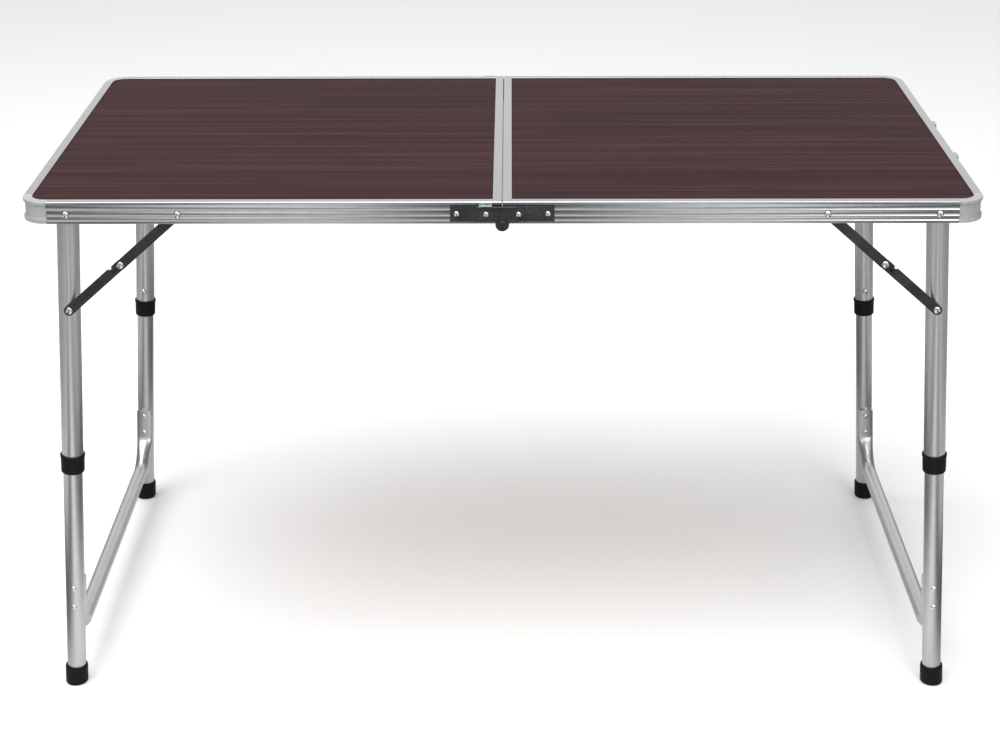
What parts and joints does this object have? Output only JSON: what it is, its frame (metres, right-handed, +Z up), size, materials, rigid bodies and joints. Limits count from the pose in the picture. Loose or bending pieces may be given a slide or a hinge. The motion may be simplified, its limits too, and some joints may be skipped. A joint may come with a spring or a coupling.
{
  "type": "folding picnic table",
  "caption": "Rectangular suitcase-folding picnic table with a wood-look top in an aluminium frame and telescopic folding legs.",
  "frame": {"origin": "on the floor, below the middle of the fold line", "axes": "+X along the table to the end with the carry handle, +Y to the rear long edge, +Z up"},
  "size_m": [1.212, 0.6112, 0.7],
  "materials": {
    "frame_aluminium": "satin extruded edge rails",
    "tube_aluminium": "satin tube",
    "grey_plastic": "satin light grey moulding",
    "black_plastic": "fine matt moulding",
    "black_steel": "black coated pressed steel",
    "bright_steel": "bright nickel rivets and buttons",
    "zinc_steel": "pale greenish zinc plating",
    "wood_board": "dark reddish-brown wood-grain laminate, satin"
  },
  "bodies": {
    "left_top": {"left_panel": "wood_board", "left_end_rail": "frame_aluminium", "left_centre_rail": "frame_aluminium", "left_front_rail": "frame_aluminium", "left_rear_rail": "frame_aluminium", "left_front_corner_cap": "grey_plastic", "left_front_hinge_leaf": "black_steel", "left_front_leg_pin": "bright_steel", "left_rear_corner_cap": "grey_plastic", "left_rear_hinge_leaf": "black_steel", "left_rear_leg_pin": "bright_steel", "front_hinge_pin": "bright_steel", "rear_hinge_pin": "bright_steel", "front_hinge_tab": "zinc_steel", "rear_hinge_tab": "zinc_steel"},
    "right_top": {"right_panel": "wood_board", "right_end_rail": "frame_aluminium", "right_centre_rail": "frame_aluminium", "right_front_rail": "frame_aluminium", "right_rear_rail": "frame_aluminium", "right_front_corner_cap": "grey_plastic", "right_front_hinge_leaf": "black_steel", "right_front_leg_pin": "bright_steel", "right_rear_corner_cap": "grey_plastic", "right_rear_hinge_leaf": "black_steel", "right_rear_leg_pin": "bright_steel", "front_handle_bracket": "grey_plastic", "rear_handle_bracket": "grey_plastic"},
    "left_upper_legs": {"left_front_upper_tube": "tube_aluminium", "left_front_collar": "black_plastic", "left_rear_upper_tube": "tube_aluminium", "left_rear_collar": "black_plastic"},
    "left_lower_legs": {"left_front_lower_tube": "tube_aluminium", "left_front_foot": "black_plastic", "left_rear_lower_tube": "tube_aluminium", "left_rear_foot": "black_plastic", "left_crossbar": "tube_aluminium"},
    "left_upper_stays": {"left_front_upper_stay": "black_steel", "left_rear_upper_stay": "black_steel"},
    "left_lower_stays": {"left_front_lower_stay": "black_steel", "left_rear_lower_stay": "black_steel"},
    "left_front_button": {"left_front_snap_button": "bright_steel"},
    "left_rear_button": {"left_rear_snap_button": "bright_steel"},
    "right_upper_legs": {"right_front_upper_tube": "tube_aluminium", "right_front_collar": "black_plastic", "right_rear_upper_tube": "tube_aluminium", "right_rear_collar": "black_plastic"},
    "right_lower_legs": {"right_front_lower_tube": "tube_aluminium", "right_front_foot": "black_plastic", "right_rear_lower_tube": "tube_aluminium", "right_rear_foot": "black_plastic", "right_crossbar": "tube_aluminium"},
    "right_upper_stays": {"right_front_upper_stay": "black_steel", "right_rear_upper_stay": "black_steel"},
    "right_lower_stays": {"right_front_lower_stay": "black_steel", "right_rear_lower_stay": "black_steel"},
    "right_front_button": {"right_front_snap_button": "bright_steel"},
    "right_rear_button": {"right_rear_snap_button": "bright_steel"},
    "carry_handle": {"carry_handle": "black_plastic"}
  },
  "joints": [
    {"name": "centre_fold", "type": "hinge", "parent": "left_top", "child": "right_top", "pos_m": [0, 0, 0.6712], "axis": [0, 1, 0], "range_deg": [0, 76]},
    {"name": "left_leg_fold", "type": "hinge", "parent": "left_top", "child": "left_upper_legs", "pos_m": [-0.5426, 0, 0.6832], "axis": [0, -1, 0], "range_deg": [0, 93.15]},
    {"name": "left_leg_slide", "type": "slide", "parent": "left_upper_legs", "child": "left_lower_legs", "axis": [0.0628, 0, 0.998], "range_m": [0, 0.1576], "deforming": ["left_front_snap_button", "left_rear_snap_button"]},
    {"name": "left_upper_stay_turn", "type": "hinge", "parent": "left_top", "child": "left_upper_stays", "pos_m": [-0.4036, 0, 0.6832], "axis": [0, -1, 0], "range_deg": [-42.3, 0]},
    {"name": "left_lower_stay_turn", "type": "hinge", "parent": "left_upper_legs", "child": "left_lower_stays", "pos_m": [-0.54977, 0, 0.55289], "axis": [0, -1, 0], "range_deg": [0, 45.2]},
    {"name": "left_front_button_press", "type": "slide", "parent": "left_lower_legs", "child": "left_front_button", "axis": [0, -1, 0], "range_m": [0, 0.004], "stiffness_N_per_m": 300, "springref_m": -0.002},
    {"name": "left_rear_button_press", "type": "slide", "parent": "left_lower_legs", "child": "left_rear_button", "axis": [0, 1, 0], "range_m": [0, 0.004], "stiffness_N_per_m": 300, "springref_m": -0.002},
    {"name": "right_leg_fold", "type": "hinge", "parent": "right_top", "child": "right_upper_legs", "pos_m": [0.5426, 0, 0.6832], "axis": [0, 1, 0], "range_deg": [0, 93.15]},
    {"name": "right_leg_slide", "type": "slide", "parent": "right_upper_legs", "child": "right_lower_legs", "axis": [-0.0628, 0, 0.998], "range_m": [0, 0.1576], "deforming": ["right_front_snap_button", "right_rear_snap_button"]},
    {"name": "right_upper_stay_turn", "type": "hinge", "parent": "right_top", "child": "right_upper_stays", "pos_m": [0.4036, 0, 0.6832], "axis": [0, 1, 0], "range_deg": [-42.3, 0]},
    {"name": "right_lower_stay_turn", "type": "hinge", "parent": "right_upper_legs", "child": "right_lower_stays", "pos_m": [0.54977, 0, 0.55289], "axis": [0, 1, 0], "range_deg": [0, 45.2]},
    {"name": "right_front_button_press", "type": "slide", "parent": "right_lower_legs", "child": "right_front_button", "axis": [0, -1, 0], "range_m": [0, 0.004], "stiffness_N_per_m": 300, "springref_m": -0.002},
    {"name": "right_rear_button_press", "type": "slide", "parent": "right_lower_legs", "child": "right_rear_button", "axis": [0, 1, 0], "range_m": [0, 0.004], "stiffness_N_per_m": 300, "springref_m": -0.002},
    {"name": "handle_swing", "type": "hinge", "parent": "right_top", "child": "carry_handle", "pos_m": [0.6053, 0, 0.685], "axis": [0, -1, 0], "range_deg": [0, 150]}
  ],
  "couplings": [
    {"joint": "left_leg_slide", "follows": "left_leg_fold", "m_per_rad": 0.096877},
    {"joint": "left_upper_stay_turn", "follows": "left_leg_fold", "ratio": -0.44784},
    {"joint": "left_lower_stay_turn", "follows": "left_leg_fold", "ratio": 0.48453},
    {"joint": "right_leg_slide", "follows": "right_leg_fold", "m_per_rad": 0.096877},
    {"joint": "right_upper_stay_turn", "follows": "right_leg_fold", "ratio": -0.44784},
    {"joint": "right_lower_stay_turn", "follows": "right_leg_fold", "ratio": 0.48453}
  ]
}
